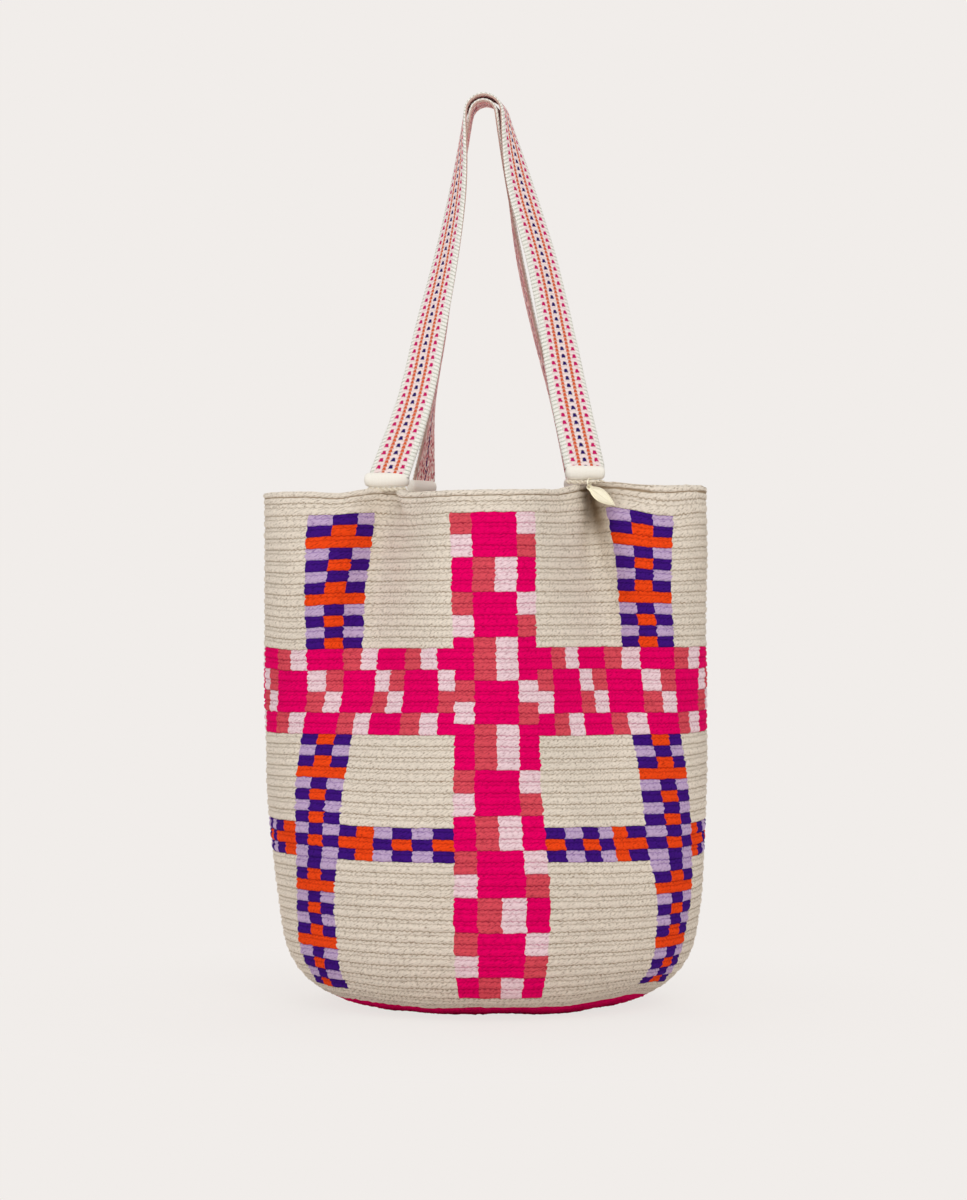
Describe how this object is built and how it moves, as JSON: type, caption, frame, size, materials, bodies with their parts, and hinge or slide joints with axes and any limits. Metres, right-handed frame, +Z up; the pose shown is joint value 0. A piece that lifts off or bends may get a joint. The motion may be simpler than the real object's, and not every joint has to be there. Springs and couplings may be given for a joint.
{
  "type": "shopper bag",
  "caption": "Round crocheted shopper bag in cream cotton with a plaid pattern, two woven straps lashed to the rim and a small leaf charm.",
  "frame": {"origin": "middle of the bag's base, on the surface that it stands on", "axes": "+Z up towards the top of the straps; +X along the bag's width; the front faces -Y"},
  "size_m": [0.285, 0.2806, 0.5816],
  "materials": {
    "cream_cotton_crochet": "matte crochet with a coloured plaid",
    "woven_strap": "matte patterned band weave",
    "cream_whipping_yarn": "matte cotton yarn",
    "pale_gold": "satin pale gold"
  },
  "bodies": {
    "bag": {"bag_body": "cream_cotton_crochet", "strap_front": "woven_strap", "strap_back": "woven_strap", "end_wrap_front_left": "cream_whipping_yarn", "end_wrap_front_right": "cream_whipping_yarn", "end_wrap_back_left": "cream_whipping_yarn", "end_wrap_back_right": "cream_whipping_yarn", "lashing_front_left": "cream_whipping_yarn", "lashing_front_right": "cream_whipping_yarn", "lashing_back_left": "cream_whipping_yarn", "lashing_back_right": "cream_whipping_yarn", "charm_loop": "cream_whipping_yarn"},
    "charm_ring": {"charm_ring": "pale_gold"},
    "charm_leaf": {"charm_leaf": "pale_gold"}
  },
  "joints": [
    {"name": "ring_swing", "type": "hinge", "parent": "bag", "child": "charm_ring", "pos_m": [0.0646, -0.0585, 0.33197], "axis": [-0.9063, 0.4226, 0], "range_deg": [-10, 80]},
    {"name": "leaf_swing", "type": "hinge", "parent": "charm_ring", "child": "charm_leaf", "pos_m": [0.0646, -0.0585, 0.32832], "axis": [0.4226, 0.9063, 0], "range_deg": [-20, 65]}
  ]
}
